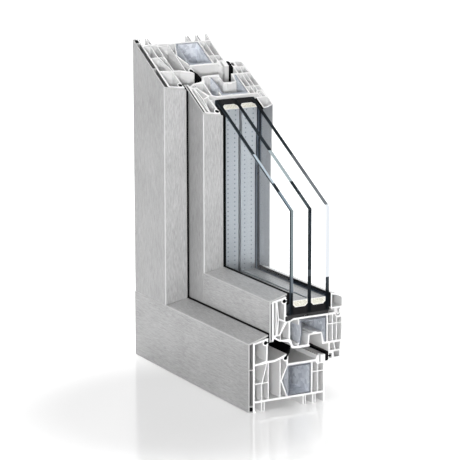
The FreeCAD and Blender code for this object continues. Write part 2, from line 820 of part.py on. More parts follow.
def sash_steel():
    """Folded strip: level top under the glazing floor, straight leg behind, bent leg in front."""
    sheet = d.sash_steel_sheet
    top = glazing_floor - d.outer_wall + 0.2 - d.sash_steel_drop
    back = sash_front + d.sash_bay_end * sash_share - d.steel_fit
    front = back - d.sash_steel_width
    back_foot = sash_under + 2.3
    foot = sash_under + 3.6
    knee = (top + foot) / 2
    outline = [
        (front, top),
        (back, top),
        (back, back_foot),
        (back - sheet, back_foot),
        (back - sheet, top - sheet),
        (front + sheet + 0.1, top - sheet),
        (front + sheet + d.sash_steel_bulge, knee + 1.2),
        (front + sheet + d.sash_steel_bulge, knee - 0.8),
        (front + sheet - 0.5, foot),
        (front - 0.5, foot),
        (front + d.sash_steel_bulge, knee - 0.8),
        (front + d.sash_steel_bulge, knee + 1.2),
    ]
    stock = stock_bar("sash_steel", outline)
    bottom_saw = square_bottom("sash_steel_cut", d.sash_steel_start)
    side_saw = square_side("sash_steel_side_cut", d.sash_steel_start)
    corner_bars("sash_steel", stock, bottom_saw, side_saw)


def sash_cover():
    sheet = d.cover_sheet
    outline = [
        (sash_face, sash_cover_low),
        (sash_face + sheet, sash_cover_low),
        (sash_face + sheet, sash_corner + d.sash_reveal_slope * sheet - sheet),
        (sash_reveal_end, sash_reveal_edge - sheet),
        (sash_reveal_end, sash_reveal_edge),
        (sash_face, sash_corner),
    ]
    ribs = [
        box(sash_face + sheet, sash_front, height, height + d.cover_rib)
        for height in (sash_cover_low + 0.4, stop_top - d.cover_rib - 0.8)
    ]
    bends = [(sash_face, sash_corner)]
    stock = stock_bar("sash_cover", outline, additions=ribs, edges=bends, radius=d.cover_bend)
    corner_bars("sash_cover", stock, butting_bottom, whole_height_side)


def glazing_gaskets():
    foot_depth, foot_height = stop_groove
    half = d.groove_mouth / 2 - d.gasket_fit
    ring_end = foot_depth + d.gasket_groove + d.groove_wall
    outer = [
        (ring_end, foot_height - 4.0),
        (outer_pane, foot_height - 3.2),
        (outer_pane, sash_reveal_edge + 0.6),
        (outer_pane - 1.1, sash_reveal_edge + 0.8),
        (sash_reveal_end, sash_reveal_edge),
        (sash_reveal_end, sash_reveal_edge - 1.4),
        (ring_end, foot_height + 1.4),
    ]
    stem = box(foot_depth, ring_end + 0.1, foot_height - half, foot_height + half)
    gasket("glass_outer_gasket", stop_groove, outer, stem)

    top = bead_seat + d.bead_height
    inner = [
        (inner_pane + d.pane_thickness, bead_seat + 2.2),
        (bead_face, bead_seat + 1.4),
        (bead_face, top),
        (bead_face - 0.7, top + 1.0),
        (inner_pane + d.pane_thickness, top + 1.2),
    ]
    corner_bars("glass_inner_gasket", stock_bar("glass_inner_gasket", inner))


def overlap_gasket():
    leg_bottom = sash_under - d.overlap_leg
    middle = leg_bottom + 3.6
    half = d.groove_mouth / 2 - d.gasket_fit
    upstand_top = rebate_floor + d.upstand
    strip = [
        (leg_face, upstand_top + 2.1),
        (frame_back + 0.4, upstand_top + 2.3),
        (frame_back, upstand_top),
        (frame_back, middle - 0.9),
        (frame_back + 0.6, leg_bottom - 1.0),
        (frame_back + 2.9, leg_bottom - 1.0),
        (leg_face, leg_bottom + 0.3),
    ]
    stem = box(leg_face - 0.1, leg_face + 1.6, middle - half, middle + half)
    anchor = [
        (leg_face + 1.1, middle - 1.9),
        (leg_face + 2.0, middle - 1.3),
        (leg_face + 2.9, middle - 0.5),
        (leg_face + 2.9, middle + 0.5),
        (leg_face + 2.0, middle + 1.5),
        (leg_face + 1.1, middle + 2.1),
    ]
    corner_bars("sash_overlap_gasket", stock_bar("sash_overlap_gasket", strip, additions=[stem, anchor]))


def glass_pane(name, start):
    body = doc.addObject("PartDesign::Body", name)
    corners = [
        (glass_edge, glass_edge),
        (d.rail_length, glass_edge),
        slant_end,
        (glass_edge, d.jamb_height - cut_fall * glass_edge),
    ]
    sketch = polygon(body, name + "_outline", corners, "XZ_Plane")
    sketch.setExpression("AttachmentOffset.Base.z", f"-{start.formula}")
    feature = pad(body, sketch, d.pane_thickness)
    feature.Reversed = True
    finished(body, name)


def glass_cavity(name, start):
    """Spacer bar, its filling and the seal below it, between two panes."""
    end = start + cavity
    sheet = d.spacer_sheet
    bevel = d.spacer_chamfer
    foot = spacer_foot
    shell = [
        (start, spacer_top),
        (start, foot + bevel),
        (start + bevel, foot),
        (end - bevel, foot),
        (end, foot + bevel),
        (end, spacer_top),
    ]
    inset = bevel + sheet * 0.4
    filling = [
        (start + sheet, spacer_top - sheet),
        (start + sheet, foot + inset),
        (start + inset, foot + sheet),
        (end - inset, foot + sheet),
        (end - sheet, foot + inset),
        (end - sheet, spacer_top - sheet),
    ]
    seal = [
        (start, glass_edge),
        (end, glass_edge),
        (end, foot + bevel),
        (end - bevel, foot),
        (start + bevel, foot),
        (start, foot + bevel),
    ]
    corner_loop(f"spacer_{name}", stock_bar(f"spacer_{name}", shell, [filling]))
    corner_loop(f"desiccant_{name}", stock_bar(f"desiccant_{name}", filling))
    corner_loop(f"edge_seal_{name}", stock_bar(f"edge_seal_{name}", seal))


def glazing_bead():
    wall = d.bead_wall
    top = bead_seat + d.bead_height
    back = sash_back
    stem = bead_face + 6.3
    toe = glazing_floor - 2.3
    outline = [
        (bead_face, bead_seat),
        (back, bead_seat),
        (back, top - d.bead_slope - 1.0),
        (back - 2.5, top - 3.0),
        (back - 9.0, top - 0.6),
        (bead_face, top),
    ]
    chamber = [
        (bead_face + wall, bead_seat + wall),
        (back - wall - 0.4, bead_seat + wall),
        (back - wall - 0.4, top - d.bead_slope - 1.5),
        (back - 3.2, top - 4.3),
        (back - 9.2, top - wall - 0.7),
        (bead_face + wall, top - wall - 0.2),
    ]
    foot = [
        (stem, bead_seat + 0.5),
        (stem, toe + 1.4),
        (stem + 1.1, toe),
        (stem + 2.9, toe),
        (stem + 4.0, toe + 1.3),
        (stem + 4.0, toe + 4.8),
        (stem + 3.0, toe + 4.8),
        (stem + 3.0, toe + 1.9),
        (stem + 2.5, toe + 1.2),
        (stem + 1.6, toe + 1.2),
        (stem + 1.2, toe + 1.8),
        (stem + 1.2, bead_seat + 0.5),
    ]
    edges = [
        (back, top - d.bead_slope - 1.0),
        (back - 2.5, top - 3.0),
        (bead_face, top),
    ]
    stock = stock_bar("glazing_bead", outline, [chamber], additions=[foot], edges=edges)
    corner_bars("glazing_bead", stock)


def glazing_packers():
    """Blocks that carry the glass, one under it and one beside it, with a drain channel below and a
    tongue that fits the groove of the glazing stop."""
    back = inner_pane + d.pane_thickness
    channel = middle_pane - 0.6
    fit = d.gasket_fit
    groove = glass_stop - d.packer_recess + fit
    outline = [
        (groove, glazing_floor - 1.2),
        (glass_stop + 0.6, glazing_floor - 2.2),
        (glass_stop + 5.2, glazing_floor - 1.5),
        (glass_stop + 8.1, glazing_floor),
        (channel - 3.0, glazing_floor),
        (channel - 2.2, glazing_floor + 1.6),
        (channel, glazing_floor + 2.4),
        (channel + 2.2, glazing_floor + 1.6),
        (channel + 3.0, glazing_floor),
        (back, glazing_floor),
        (back, glass_edge),
        (outer_pane, glass_edge),
        (glass_stop + 1.6, glazing_floor + 2.4),
        (glass_stop + 0.3, glazing_floor + 2.4),
        (groove, glazing_floor + 1.8),
    ]
    start = d.rail_length - d.packer_margin - d.packer_length
    end = d.rail_length - d.packer_margin
    bottom_saw = saw_shape("packer_bottom_cut", box(start, end, 0.0, reach))
    side_saw = saw_shape("packer_side_cut", box(0.0, reach, start, end))
    corner_bars("glazing_packer", stock_bar("glazing_packer", outline), bottom_saw, side_saw)


frame_profile()
frame_steel()
frame_cover()
frame_cover_cord()
frame_gaskets()
sash_profile()
sash_steel()
sash_cover()
overlap_gasket()
glazing_gaskets()
glass_pane("pane_outer", outer_pane)
glass_pane("pane_middle", middle_pane)
glass_pane("pane_inner", inner_pane)
glass_cavity("outer", outer_pane + d.pane_thickness)
glass_cavity("inner", middle_pane + d.pane_thickness)
glazing_bead()
glazing_packers()

doc.recompute()
for item in doc.Objects:
    if "Invalid" in item.State or "Error" in item.State:
        raise RuntimeError(f"{item.Label} could not be built: {item.State}")

os.makedirs("parts", exist_ok=True)
for piece in nodes:
    shape = piece.Shape
    if shape.isNull() or not shape.isValid() or len(shape.Solids) != 1:
        raise RuntimeError(f"{piece.Label} is not one sound solid")
    shape.exportStep(os.path.join("parts", piece.Label + ".step"))
    print(f"{piece.Label}: {shape.Volume / 1000:.2f} cm3")
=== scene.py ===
import math
import bpy
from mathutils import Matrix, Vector


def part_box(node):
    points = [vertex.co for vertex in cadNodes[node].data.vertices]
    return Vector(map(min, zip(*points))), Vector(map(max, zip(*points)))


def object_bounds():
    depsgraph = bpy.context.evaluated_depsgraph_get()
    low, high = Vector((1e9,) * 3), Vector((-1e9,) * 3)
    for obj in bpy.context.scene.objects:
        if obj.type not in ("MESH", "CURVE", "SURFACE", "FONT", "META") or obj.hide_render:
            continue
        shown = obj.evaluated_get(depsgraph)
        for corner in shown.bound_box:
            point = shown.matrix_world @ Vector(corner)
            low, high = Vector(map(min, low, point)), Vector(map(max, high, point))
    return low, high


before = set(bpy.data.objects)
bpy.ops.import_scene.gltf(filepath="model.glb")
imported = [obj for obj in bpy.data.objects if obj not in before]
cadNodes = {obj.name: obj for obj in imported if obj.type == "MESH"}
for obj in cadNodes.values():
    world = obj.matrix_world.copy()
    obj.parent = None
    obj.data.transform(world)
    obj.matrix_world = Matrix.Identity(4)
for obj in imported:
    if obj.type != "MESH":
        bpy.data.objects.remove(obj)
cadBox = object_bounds()
scene = bpy.context.scene
print("stage: packed model loaded,", len(cadNodes), "nodes")

# Directions that several finishes share: how each bar runs, and what each saw cut faces
barRun = {"bottom": (1.0, 0.0, 0.0), "side": (0.0, 0.0, 1.0)}
sawNormal = {"bottom": (1.0, 0.0, 0.0), "side": (0.5, 0.0, 0.8660254)}


def addNode(tree, kind, place=(0, 0), **settings):
    node = tree.nodes.new(kind)
    node.location = place
    for name, value in settings.items():
        setattr(node, name, value)
    return node


def feed(tree, target, source):
    if isinstance(source, bpy.types.NodeSocket):  # a plain value is written into the input instead
        tree.links.new(source, target)
    else:
        target.default_value = source
    return target


def calculate(tree, operation, first, second=0.0, place=(0, 0), third=0.0, clamp=False):
    node = addNode(tree, "ShaderNodeMath", place, operation=operation, use_clamp=clamp)
    feed(tree, node.inputs[0], first)
    feed(tree, node.inputs[1], second)
    feed(tree, node.inputs[2], third)
    return node.outputs[0]


def blendColour(tree, share, first, second, place=(0, 0), kind="MIX"):
    node = addNode(tree, "ShaderNodeMix", place, data_type="RGBA", blend_type=kind)
    feed(tree, node.inputs["Factor"], share)
    feed(tree, node.inputs[6], first)
    feed(tree, node.inputs[7], second)
    return node.outputs[2]


def rampBetween(tree, value, low, high, place=(0, 0)):  # zero up to low, one from high
    node = addNode(tree, "ShaderNodeMapRange", place, interpolation_type="SMOOTHSTEP")
    feed(tree, node.inputs["Value"], value)
    feed(tree, node.inputs["From Min"], low)
    feed(tree, node.inputs["From Max"], high)
    return node.outputs["Result"]


def newGroup(name, inputs, outputs):
    tree = bpy.data.node_groups.new(name, "ShaderNodeTree")
    for label, kind, value in inputs:
        socket = tree.interface.new_socket(label, in_out="INPUT", socket_type=kind)
        socket.default_value = value
    for label, kind in outputs:
        tree.interface.new_socket(label, in_out="OUTPUT", socket_type=kind)
    given = addNode(tree, "NodeGroupInput", (-900, 0)).outputs
    result = addNode(tree, "NodeGroupOutput", (700, 0)).inputs
    return tree, given, result


def useGroup(tree, group, place=(0, 0), **values):
    node = addNode(tree, "ShaderNodeGroup", place, node_tree=group)
    for label, value in values.items():
        feed(tree, node.inputs[label], value)
    return node.outputs


grainNoise = {"detail": 3.0, "roughness": 0.65, "cloudScale": 18.0, "cloudShare": 0.2}
# How closely a face has to look the way of a saw cut, and the arcs that the blade leaves there
sawFace = {
    "cosine": (0.97, 0.995),
    "bladeMiddle": (-0.05, 0.35, -0.12),
    "arcs": 9000.0,  # radians of their wave for each metre from the blade's middle
}
bendCosine = (0.92, 0.975)


# Long fine strokes: noise squeezed by Stretch, with a slower cloud below it
def buildGrainGroup():
    tree, given, result = newGroup(
        "grainAlongBar",
        [("Stretch", "NodeSocketVector", (6.0, 900.0, 900.0)), ("Depth", "NodeSocketFloat", 0.1)],
        [("Shade", "NodeSocketFloat"), ("Stroke", "NodeSocketFloat")],
    )
    coords = addNode(tree, "ShaderNodeTexCoord", (-900, 200)).outputs["Object"]
    squeezed = addNode(tree, "ShaderNodeVectorMath", (-700, 100), operation="MULTIPLY")
    feed(tree, squeezed.inputs[0], coords)
    feed(tree, squeezed.inputs[1], given["Stretch"])
    stroke = addNode(tree, "ShaderNodeTexNoise", (-500, 100))
    feed(tree, stroke.inputs["Vector"], squeezed.outputs[0])
    stroke.inputs["Scale"].default_value = 1.0
    stroke.inputs["Detail"].default_value = grainNoise["detail"]
    stroke.inputs["Roughness"].default_value = grainNoise["roughness"]
    cloud = addNode(tree, "ShaderNodeTexNoise", (-500, -150))
    feed(tree, cloud.inputs["Vector"], coords)
    cloud.inputs["Scale"].default_value = grainNoise["cloudScale"]
    centred = calculate(tree, "SUBTRACT", stroke.outputs["Fac"], 0.5, (-300, 100))
    slow = calculate(tree, "SUBTRACT", cloud.outputs["Fac"], 0.5, (-300, -150))
    both = calculate(tree, "MULTIPLY_ADD", slow, grainNoise["cloudShare"], (-150, 0), centred)
    feed(tree, result["Shade"], calculate(tree, "MULTIPLY_ADD", both, given["Depth"], (50, 0), 1.0))
    feed(tree, result["Stroke"], stroke.outputs["Fac"])
    return tree


# Mask of the faces that look the way of Facing, and the fine arcs that a saw blade leaves there
def buildSawGroup():
    tree, given, result = newGroup(
        "sawnFace",
        [("Facing", "NodeSocketVector", (1.0, 0.0, 0.0))],
        [("Mask", "NodeSocketFloat"), ("Marks", "NodeSocketFloat")],
    )
    coords = addNode(tree, "ShaderNodeTexCoord", (-900, 200))
    facing = addNode(tree, "ShaderNodeVectorMath", (-700, 200), operation="DOT_PRODUCT")
    feed(tree, facing.inputs[0], coords.outputs["Normal"])
    feed(tree, facing.inputs[1], given["Facing"])
    mask = rampBetween(tree, facing.outputs["Value"], *sawFace["cosine"], (-450, 200))
    feed(tree, result["Mask"], mask)
    centre = addNode(tree, "ShaderNodeVectorMath", (-700, -100), operation="SUBTRACT")
    feed(tree, centre.inputs[0], coords.outputs["Object"])
    centre.inputs[1].default_value = sawFace["bladeMiddle"]
    distance = addNode(tree, "ShaderNodeVectorMath", (-500, -100), operation="LENGTH")
    feed(tree, distance.inputs[0], centre.outputs[0])
    turns = calculate(tree, "MULTIPLY", distance.outputs["Value"], sawFace["arcs"], (-300, -100))
    feed(tree, result["Marks"], calculate(tree, "SINE", turns, 0.0, (-100, -100)))
    return tree


# Crystals or grains: one flat value for each cell, and the distance to its middle
def buildSpeckleGroup():
    tree, given, result = newGroup(
        "cellSpeckle",
        [("Cells", "NodeSocketFloat", 400.0)],
        [("Value", "NodeSocketFloat"), ("Edge", "NodeSocketFloat")],
    )
    coords = addNode(tree, "ShaderNodeTexCoord", (-900, 0)).outputs["Object"]
    cells = addNode(tree, "ShaderNodeTexVoronoi", (-500, 100))
    feed(tree, cells.inputs["Vector"], coords)
    feed(tree, cells.inputs["Scale"], given["Cells"])
    split = addNode(tree, "ShaderNodeSeparateColor", (-250, 100))
    feed(tree, split.inputs[0], cells.outputs["Color"])
    feed(tree, result["Value"], split.outputs[0])
    feed(tree, result["Edge"], cells.outputs["Distance"])
    return tree


# Mask of the faces that look between two directions, which are the rounded bends of a folded sheet
def buildBendGroup():
    tree, given, result = newGroup(
        "foldedBend",
        [("Middle", "NodeSocketVector", (0.0, -0.8, 0.6))],
        [("Mask", "NodeSocketFloat")],
    )
    coords = addNode(tree, "ShaderNodeTexCoord", (-900, 200))
    facing = addNode(tree, "ShaderNodeVectorMath", (-700, 200), operation="DOT_PRODUCT")
    feed(tree, facing.inputs[0], coords.outputs["Normal"])
    feed(tree, facing.inputs[1], given["Middle"])
    feed(tree, result["Mask"], rampBetween(tree, facing.outputs["Value"], *bendCosine, (-450, 200)))
    return tree


grainGroup = buildGrainGroup()
sawGroup = buildSawGroup()
speckleGroup = buildSpeckleGroup()
bendGroup = buildBendGroup()
print("stage: shared effects built")


def newFinish(name, **plain):
    material = bpy.data.materials.new(name)
    material.use_nodes = True
    tree = material.node_tree
    shader = tree.nodes["Principled BSDF"]
    shader.location = (400, 0)
    tree.nodes["Material Output"].location = (900, 0)
    for label, value in plain.items():
        shader.inputs[label].default_value = value
    return material, tree, shader


def roughen(tree, shader, height, distance, strength):
    bump = addNode(tree, "ShaderNodeBump", (200, -300))
    bump.inputs["Distance"].default_value = distance
    bump.inputs["Strength"].default_value = strength
    feed(tree, bump.inputs["Height"], height)
    feed(tree, shader.inputs["Normal"], bump.outputs["Normal"])


def dress(finish, *names):
    for name in names:
        for slot in cadNodes[name].material_slots:
            slot.material = finish


def stretchAlong(direction, along, across):
    return tuple(along if part else across for part in direction)


# Plain bands of colour: each holds the height in metres where it begins and its colour
def bandsByHeight(tree, height, top, bands, place):
    share = calculate(tree, "DIVIDE", height, top, place)
    node = addNode(tree, "ShaderNodeValToRGB", (place[0] + 200, place[1]))
    ramp = node.color_ramp
    ramp.interpolation = "CONSTANT"
    ramp.elements.remove(ramp.elements[1])
    ramp.elements[0].color = bands[0][1]
    for start, colour in bands[1:]:
        stop = ramp.elements.new(start / top)
        stop.color = colour
    feed(tree, node.inputs[0], share)
    return node.outputs["Color"]


whitePlastic = {
    "wall": (0.655, 0.655, 0.655, 1.0),  # extruded skin and chamber walls, greyed below white as painted shade for the chambers
    "coverShade": {  # outer face behind the aluminium covers, painted shade for the gap where little light gets in
        "bottom": (0.26, 0.26, 0.26, 1.0),
        "side": (0.13, 0.13, 0.13, 1.0),
    },
    "slope": (0.155, 0.165, 0.18, 1.0),  # upright bead face beside the glass, painted shade
    "slopeLean": 0.386,  # metres by which that face falls back for each metre of depth
    "slopeReach": 0.00005,
    "sawn": (0.88, 0.88, 0.88, 1.0),  # fresh saw cut
    "wallGloss": 0.35,
    "sawnGloss": 0.6,
}
# Each plastic bar with the depth in metres in front of which a cover hides it
plasticBars = {
    "frame_profile": {"coverLine": -0.0473},
    "sash_profile": {"coverLine": -0.0264},
    "glazing_bead": {"coverLine": -1.0},
}


def makePlastic(piece, bar):
    values = dict(whitePlastic, **plasticBars[piece])
    finish, tree, shader = newFinish(f"whitePlastic_{piece}_{bar}")
    saw = useGroup(tree, sawGroup, (-300, 200), Facing=sawNormal[bar])
    strokes = stretchAlong(barRun[bar], 4.0, 700.0)
    grain = useGroup(tree, grainGroup, (-300, -100), Stretch=strokes, Depth=0.05)
    coords = addNode(tree, "ShaderNodeTexCoord", (-900, 500))
    facing = addNode(tree, "ShaderNodeSeparateXYZ", (-700, 500))
    feed(tree, facing.inputs[0], coords.outputs["Normal"])
    place = addNode(tree, "ShaderNodeSeparateXYZ", (-700, 300))
    feed(tree, place.inputs[0], coords.outputs["Object"])
    # painted shade on the faces behind the covers
    forward = calculate(tree, "LESS_THAN", facing.outputs["Y"], -0.9, (-500, 500))
    front = calculate(tree, "LESS_THAN", place.outputs["Y"], values["coverLine"], (-500, 300))
    coverShade = calculate(tree, "MULTIPLY", forward, front, (-300, 500))
    wall = blendColour(tree, coverShade, values["wall"], values["coverShade"][bar], (-100, 400))
    # painted shade on the side bead's face beside the glass
    if piece == "glazing_bead" and bar == "side":
        low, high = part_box(f"{piece}_{bar}")
        away = calculate(tree, "SUBTRACT", place.outputs["Y"], low[1], (-500, 700))
        line = calculate(tree, "MULTIPLY_ADD", away, values["slopeLean"], (-300, 700), place.outputs["X"])
        start = high[0] - values["slopeReach"]
        slope = calculate(tree, "GREATER_THAN", line, start, (-100, 700))
        wall = blendColour(tree, slope, wall, values["slope"], (50, 600))
    skin = blendColour(tree, 1.0, wall, grain["Shade"], (-50, 0), "MULTIPLY")
    surface = blendColour(tree, saw["Mask"], skin, values["sawn"], (150, 100))
    feed(tree, shader.inputs["Base Color"], surface)
    rougher = values["sawnGloss"] - values["wallGloss"]
    gloss = calculate(tree, "MULTIPLY_ADD", saw["Mask"], rougher, (150, -100), values["wallGloss"])
    feed(tree, shader.inputs["Roughness"], gloss)
    marks = calculate(tree, "MULTIPLY", saw["Marks"], saw["Mask"], (0, -300))
    roughen(tree, shader, marks, 0.00002, 0.5)
    dress(finish, f"{piece}_{bar}")


brushedAluminium = {
    "sheet": (0.36, 0.36, 0.362, 1.0),
    "revealLight": {  # faces that look into the opening, painted lighter where the light falls
        "bottom": (0.48, 0.48, 0.482, 1.0),
        "side": (0.41, 0.41, 0.412, 1.0),
    },
    "sawn": (0.52, 0.52, 0.52, 1.0),
    "bend": (0.55, 0.55, 0.555, 1.0),  # painted highlight along the fold, which catches more light than the sheet
    "metal": 0.65,
    "gloss": 0.42,
    "grain": 1.6,
    "pieces": ("frame_cover", "sash_cover"),
}
revealFacing = {"bottom": (0.0, 0.0, 1.0), "side": (1.0, 0.0, 0.0)}
bendMiddle = {"bottom": (0.0, -0.803, 0.596), "side": (0.596, -0.803, 0.0)}


def makeAluminium(bar):
    values = brushedAluminium
    finish, tree, shader = newFinish(f"brushedAluminium_{bar}", Metallic=values["metal"])
    saw = useGroup(tree, sawGroup, (-300, 300), Facing=sawNormal[bar])
    bend = useGroup(tree, bendGroup, (-300, 500), Middle=bendMiddle[bar])
    strokes = stretchAlong(barRun[bar], 150.0, 2600.0)
    grain = useGroup(tree, grainGroup, (-300, -100), Stretch=strokes, Depth=values["grain"])
    coords = addNode(tree, "ShaderNodeTexCoord", (-900, 700))
    facing = addNode(tree, "ShaderNodeVectorMath", (-700, 700), operation="DOT_PRODUCT")
    feed(tree, facing.inputs[0], coords.outputs["Normal"])
    feed(tree, facing.inputs[1], revealFacing[bar])
    revealLight = calculate(tree, "GREATER_THAN", facing.outputs["Value"], 0.8, (-500, 700))
    sheet = blendColour(tree, revealLight, values["sheet"], values["revealLight"][bar], (-300, 700))
    sheet = blendColour(tree, 1.0, sheet, grain["Shade"], (-50, 0), "MULTIPLY")
    sheet = blendColour(tree, bend["Mask"], sheet, values["bend"], (50, 200))
    surface = blendColour(tree, saw["Mask"], sheet, values["sawn"], (150, 100))
    feed(tree, shader.inputs["Base Color"], surface)
    gloss = calculate(tree, "MULTIPLY_ADD", grain["Stroke"], 0.25, (0, -150), values["gloss"] - 0.12)
    feed(tree, shader.inputs["Roughness"], gloss)
    roughen(tree, shader, grain["Stroke"], 0.00002, 0.5)
    dress(finish, *[f"{piece}_{bar}" for piece in values["pieces"]])


galvanisedSteel = {
    "dark": (0.52, 0.55, 0.61, 1.0),
    "light": (0.77, 0.80, 0.85, 1.0),
    # saw cuts painted dark as the shade of the gap round the steel, darker on the bottom bar
    "sawn": {"bottom": (0.12, 0.13, 0.15, 1.0), "side": (0.28, 0.30, 0.34, 1.0)},
    "crystals": 260.0,
    "pieces": ("frame_steel", "sash_steel"),
}


def makeSteel(bar):
    values = galvanisedSteel
    finish, tree, shader = newFinish(f"galvanisedSteel_{bar}", Metallic=0.2)
    speckle = useGroup(tree, speckleGroup, (-500, 0), Cells=values["crystals"])
    zinc = blendColour(tree, speckle["Value"], values["dark"], values["light"], (-200, 0))
    saw = useGroup(tree, sawGroup, (-300, 300), Facing=sawNormal[bar])
    tone = blendColour(tree, saw["Mask"], zinc, values["sawn"][bar], (100, 100))
    feed(tree, shader.inputs["Base Color"], tone)
    gloss = calculate(tree, "MULTIPLY_ADD", speckle["Value"], 0.2, (0, -150), 0.35)
    feed(tree, shader.inputs["Roughness"], gloss)
    dress(finish, *[f"{piece}_{bar}" for piece in values["pieces"]])


blackRubber = {
    "skin": (0.001, 0.001, 0.0012, 1.0),
    "cut": (0.004, 0.004, 0.0045, 1.0),
    "gloss": 0.6,
    "specular": 0.06,
    "stripesTop": 0.02,
    "paintedBands": {  # gasket on the room side of the glass, with bands of painted light and shade, by the metres below its upper edge
        "bottom": [
            (0.0, (0.003, 0.003, 0.004, 1.0)),
            (0.0020, (0.020, 0.028, 0.038, 1.0)),
            (0.0040, (0.13, 0.16, 0.20, 1.0)),
        ],
        "side": [
            (0.0, (0.10, 0.115, 0.135, 1.0)),
            (0.0016, (0.003, 0.003, 0.004, 1.0)),
            (0.0036, (0.15, 0.19, 0.24, 1.0)),
            (0.0076, (0.003, 0.003, 0.004, 1.0)),
        ],
    },
    "pieces": (
        "frame_cover_cord",
        "frame_outer_gasket",
        "frame_middle_gasket",
        "sash_overlap_gasket",
        "glass_outer_gasket",
    ),
    "stripedPieces": ("glass_inner_gasket",),
}


def makeRubber(name, bar, pieces):
    values = blackRubber
    finish, tree, shader = newFinish(f"{name}_{bar}", Roughness=values["gloss"])
    shader.inputs["Specular IOR Level"].default_value = values["specular"]
    saw = useGroup(tree, sawGroup, (-300, 200), Facing=sawNormal[bar])
    strokes = stretchAlong(barRun[bar], 30.0, 500.0)
    grain = useGroup(tree, grainGroup, (-300, -100), Stretch=strokes, Depth=0.4)
    tone = values["skin"]
    if pieces == values["stripedPieces"]:
        low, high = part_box(f"{pieces[0]}_{bar}")
        axis, top = ("Z", high[2]) if bar == "bottom" else ("X", high[0])
        coords = addNode(tree, "ShaderNodeTexCoord", (-1100, 500))
        place = addNode(tree, "ShaderNodeSeparateXYZ", (-900, 500))
        feed(tree, place.inputs[0], coords.outputs["Object"])
        below = calculate(tree, "SUBTRACT", top, place.outputs[axis], (-700, 500))
        tone = bandsByHeight(tree, below, values["stripesTop"], values["paintedBands"][bar], (-500, 500))
    skin = blendColour(tree, 1.0, tone, grain["Shade"], (-50, 0), "MULTIPLY")
    surface = blendColour(tree, saw["Mask"], skin, values["cut"], (150, 100))
    feed(tree, shader.inputs["Base Color"], surface)
    roughen(tree, shader, grain["Stroke"], 0.00003, 0.4)
    dress(finish, *[f"{piece}_{bar}" for piece in pieces])


for bar in barRun:
    for piece in plasticBars:
        makePlastic(piece, bar)
    makeAluminium(bar)
    makeSteel(bar)
    makeRubber("blackRubber", bar, blackRubber["pieces"])
    makeRubber("paintedBandRubber", bar, blackRubber["stripedPieces"])
print("stage: bars finished")


# Clear panes with ground edges, whose edges glow in bands that change with the height: painted reflection
# and shade
paintedDarkEdge = (0.002, 0.003, 0.004, 1.0)
glassSheet = {
    "clear": (0.985, 0.992, 0.995, 1.0),
    "bending": 1.1,  # coated panes mirror the room far less than plain glass
    "edgeGloss": 0.6,
    "topOfBands": 0.4,
    "pane_outer": {
        "arris": 0.35,  # share of the thickness painted dark at the front
        "bands": [
            (0.090, paintedDarkEdge),
            (0.112, (0.16, 0.19, 0.22, 1.0)),
            (0.128, (0.24, 0.29, 0.30, 1.0)),
            (0.193, (0.24, 0.30, 0.35, 1.0)),
            (0.206, paintedDarkEdge),
            (0.212, (0.50, 0.58, 0.64, 1.0)),
            (0.234, paintedDarkEdge),
        ],
    },
    "pane_middle": {
        "arris": 0.0,
        "bands": [
            (0.090, paintedDarkEdge),
            (0.126, (0.07, 0.08, 0.09, 1.0)),
            (0.132, paintedDarkEdge),
            (0.193, (0.035, 0.045, 0.05, 1.0)),
            (0.202, paintedDarkEdge),
            (0.212, (0.38, 0.44, 0.46, 1.0)),
            (0.235, paintedDarkEdge),
        ],
    },
    "pane_inner": {
        "arris": 0.0,
        "bands": [
            (0.090, paintedDarkEdge),
            (0.122, (0.80, 0.83, 0.86, 1.0)),
            (0.193, (0.14, 0.145, 0.15, 1.0)),
            (0.2145, (0.90, 0.91, 0.92, 1.0)),
            (0.2155, (0.09, 0.09, 0.095, 1.0)),
            (0.230, paintedDarkEdge),
        ],
    },
}


def makePane(name):
    values = glassSheet[name]
    low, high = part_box(name)
    finish, tree, shader = newFinish(f"glass_{name}", IOR=glassSheet["bending"])
    shader.inputs["Transmission Weight"].default_value = 1.0
    coords = addNode(tree, "ShaderNodeTexCoord", (-1300, 0))
    facing = addNode(tree, "ShaderNodeSeparateXYZ", (-1100, -200))
    feed(tree, facing.inputs[0], coords.outputs["Normal"])
    place = addNode(tree, "ShaderNodeSeparateXYZ", (-1100, 200))
    feed(tree, place.inputs[0], coords.outputs["Object"])
    across = calculate(tree, "ABSOLUTE", facing.outputs["Y"], 0.0, (-900, -200))
    edge = calculate(tree, "LESS_THAN", across, 0.6, (-700, -200))
    edgeReflection = bandsByHeight(tree, place.outputs["Z"], glassSheet["topOfBands"], values["bands"], (-900, 200))
    frontLine = low[1] + (high[1] - low[1]) * values["arris"]
    dark = calculate(tree, "LESS_THAN", place.outputs["Y"], frontLine, (-700, 400))
    edgeReflection = blendColour(tree, dark, edgeReflection, (0.012, 0.018, 0.024, 1.0), (-300, 300))
    # painted light: the edge bands glow as emission
    edgeGlow = blendColour(tree, edge, (0.0, 0.0, 0.0, 1.0), edgeReflection, (0, 300))
    surface = blendColour(tree, edge, glassSheet["clear"], paintedDarkEdge, (0, 100))
    feed(tree, shader.inputs["Base Color"], surface)
    feed(tree, shader.inputs["Emission Color"], edgeGlow)
    shader.inputs["Emission Strength"].default_value = 1.0
    gloss = calculate(tree, "MULTIPLY", edge, glassSheet["edgeGloss"], (0, -100))
    feed(tree, shader.inputs["Roughness"], gloss)
    path = addNode(tree, "ShaderNodeLightPath", (400, 400))
    through = addNode(tree, "ShaderNodeBsdfTransparent", (400, -450))
    mix = addNode(tree, "ShaderNodeMixShader", (700, 0))
    feed(tree, mix.inputs[0], path.outputs["Is Shadow Ray"])
    feed(tree, mix.inputs[1], shader.outputs[0])
    feed(tree, mix.inputs[2], through.outputs[0])
    feed(tree, tree.nodes["Material Output"].inputs["Surface"], mix.outputs[0])
    dress(finish, name)


